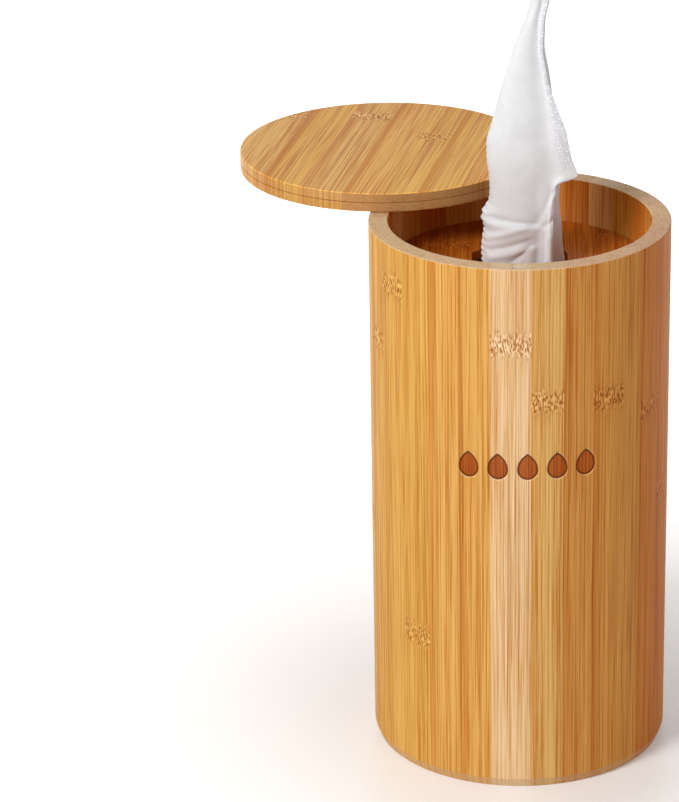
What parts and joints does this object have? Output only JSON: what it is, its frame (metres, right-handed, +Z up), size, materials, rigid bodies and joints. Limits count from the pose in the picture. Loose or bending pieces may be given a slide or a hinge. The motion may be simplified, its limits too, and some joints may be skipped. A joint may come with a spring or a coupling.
{
  "type": "wet wipes dispenser",
  "caption": "Round bamboo canister with a swivelling lid and a recessed plate whose squared hole lets a wipe be pulled up from the roll inside.",
  "frame": {"origin": "centre of the foot on the tube's axis, on the surface that it stands on", "axes": "+Z up along the tube's axis, -Y to the front with the row of drops and the magnet, pin of the lid at +Y"},
  "size_m": [0.1811, 0.1921, 0.329],
  "materials": {
    "bamboo_body": "satin clear coat over vertical glued staves",
    "bamboo_base": "satin clear coat",
    "bamboo_plate": "glossy deeper coat, grain front to back",
    "bamboo_lid": "satin clear coat",
    "pin_steel": "drawn",
    "magnet_plating": "nickel plated",
    "wipe_nonwoven": "damp, embossed, thin"
  },
  "bodies": {
    "container": {"tube": "bamboo_body", "base_disc": "bamboo_base", "inner_plate": "bamboo_plate", "rim_magnet": "magnet_plating", "wipes_roll": "wipe_nonwoven", "drawn_wipe": "wipe_nonwoven"},
    "lid": {"lid_top_ply": "bamboo_lid", "lid_bottom_ply": "bamboo_lid", "pivot_pin": "pin_steel", "lid_magnet": "magnet_plating"}
  },
  "joints": [
    {"name": "lid_swivel", "type": "hinge", "parent": "container", "child": "lid", "pos_m": [0, 0.058, 0.2303], "axis": [0, 0, 1], "range_deg": [0, 100], "deforming": ["drawn_wipe"]}
  ]
}
